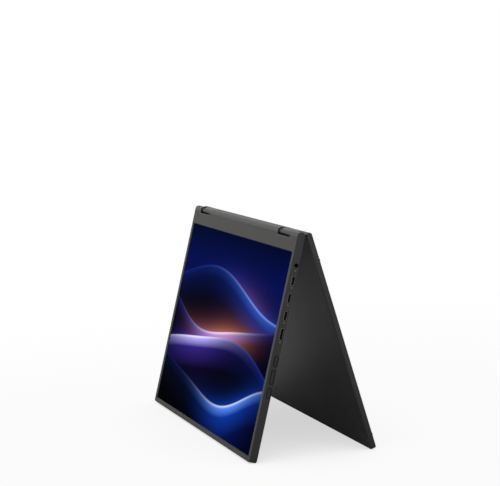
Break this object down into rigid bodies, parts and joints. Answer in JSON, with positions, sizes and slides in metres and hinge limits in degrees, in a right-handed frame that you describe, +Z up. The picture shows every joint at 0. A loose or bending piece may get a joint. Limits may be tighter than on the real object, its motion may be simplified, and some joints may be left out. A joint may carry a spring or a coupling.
{
  "type": "dual portable monitor",
  "caption": "Folding portable monitor: a main screen panel and a lid screen on geared wrap-around hinges, stood as a tent, with sockets and buttons along one edge.",
  "frame": {"origin": "on the table under the middle of the part's box, as it stands in a tent", "axes": "+X along the hinge towards the sockets, +Y from the main panel to the lid, +Z up"},
  "size_m": [0.3126, 0.1236, 0.2054],
  "materials": {
    "shell": "charcoal moulded plastic, fine matte texture",
    "bezel": "charcoal moulded plastic, a shade lighter than the shell",
    "display": "glossy picture panel",
    "plate": "mill-finish sheet",
    "board": "solder-masked circuit board",
    "cable": "black jacket",
    "hinge_cover": "dark charcoal satin",
    "button": "charcoal satin moulded plastic",
    "rubber": "soft matte rubber",
    "black_plastic": "black moulded plastic",
    "socket": "plated pressed steel",
    "screw": "blackened steel",
    "steel": "machined steel"
  },
  "bodies": {
    "main_panel": {"button_board": "board", "button_switches": "black_plastic", "headphone_jack": "black_plastic", "main_board": "board", "main_board_screws": "screw", "main_cable": "cable", "main_display": "display", "main_front_bezel": "bezel", "main_hinge_leaf_left": "steel", "main_hinge_leaf_right": "steel", "main_hinge_screws": "screw", "main_plate_screws": "screw", "main_rear_cover": "shell", "main_shaft_left": "steel", "main_shaft_nuts": "steel", "main_shaft_right": "steel", "main_support_plate": "plate", "mini_hdmi_socket": "socket", "usb_c_socket_1": "socket", "usb_c_socket_2": "socket", "usb_c_socket_3": "socket"},
    "hinge_carrier": {"friction_washers": "steel", "hinge_bearing_plate_left": "steel", "hinge_bearing_plate_right": "steel", "hinge_cable": "cable", "hinge_cover_left": "hinge_cover", "hinge_cover_right": "hinge_cover", "hinge_gear_plate_left": "steel", "hinge_gear_plate_right": "steel", "idler_pins": "steel"},
    "lid_panel": {"lid_board": "board", "lid_board_screws": "screw", "lid_bumpers": "rubber", "lid_cable": "cable", "lid_display": "display", "lid_front_bezel": "bezel", "lid_hinge_leaf_left": "steel", "lid_hinge_leaf_right": "steel", "lid_hinge_screws": "screw", "lid_plate_screws": "screw", "lid_rear_cover": "shell", "lid_shaft_left": "steel", "lid_shaft_nuts": "steel", "lid_shaft_right": "steel", "lid_support_plate": "plate"},
    "main_idlers": {"main_idler_gear_left": "steel", "main_idler_gear_right": "steel"},
    "lid_idlers": {"lid_idler_gear_left": "steel", "lid_idler_gear_right": "steel"},
    "upper_key": {"upper_button": "button"},
    "middle_key": {"middle_button": "button"},
    "lower_key": {"lower_button": "button"}
  },
  "joints": [
    {"name": "main_fold", "type": "hinge", "parent": "main_panel", "child": "hinge_carrier", "pos_m": [0, -0.00336, 0.20164], "axis": [-1, 0, 0], "range_deg": [-164.7, 15.3]},
    {"name": "lid_fold", "type": "hinge", "parent": "hinge_carrier", "child": "lid_panel", "pos_m": [0, 0.00434, 0.20164], "axis": [-1, 0, 0], "range_deg": [-164.7, 15.3]},
    {"name": "main_idler_spin", "type": "hinge", "parent": "hinge_carrier", "child": "main_idlers", "pos_m": [0, -0.00079, 0.20164], "axis": [-1, 0, 0], "range_deg": [-179.7, 30.3]},
    {"name": "lid_idler_spin", "type": "hinge", "parent": "hinge_carrier", "child": "lid_idlers", "pos_m": [0, 0.00177, 0.20164], "axis": [-1, 0, 0], "range_deg": [-30.3, 179.7]},
    {"name": "upper_press", "type": "slide", "parent": "main_panel", "child": "upper_key", "axis": [-1, 0, 0], "range_m": [0, 0.0005], "stiffness_N_per_m": 2500},
    {"name": "middle_press", "type": "slide", "parent": "main_panel", "child": "middle_key", "axis": [-1, 0, 0], "range_m": [0, 0.0005], "stiffness_N_per_m": 2500},
    {"name": "lower_press", "type": "slide", "parent": "main_panel", "child": "lower_key", "axis": [-1, 0, 0], "range_m": [0, 0.0005], "stiffness_N_per_m": 2500}
  ],
  "couplings": [
    {"joint": "lid_fold", "follows": "main_fold", "ratio": 1},
    {"joint": "main_idler_spin", "follows": "main_fold", "ratio": 1},
    {"joint": "lid_idler_spin", "follows": "main_fold", "ratio": -1}
  ]
}
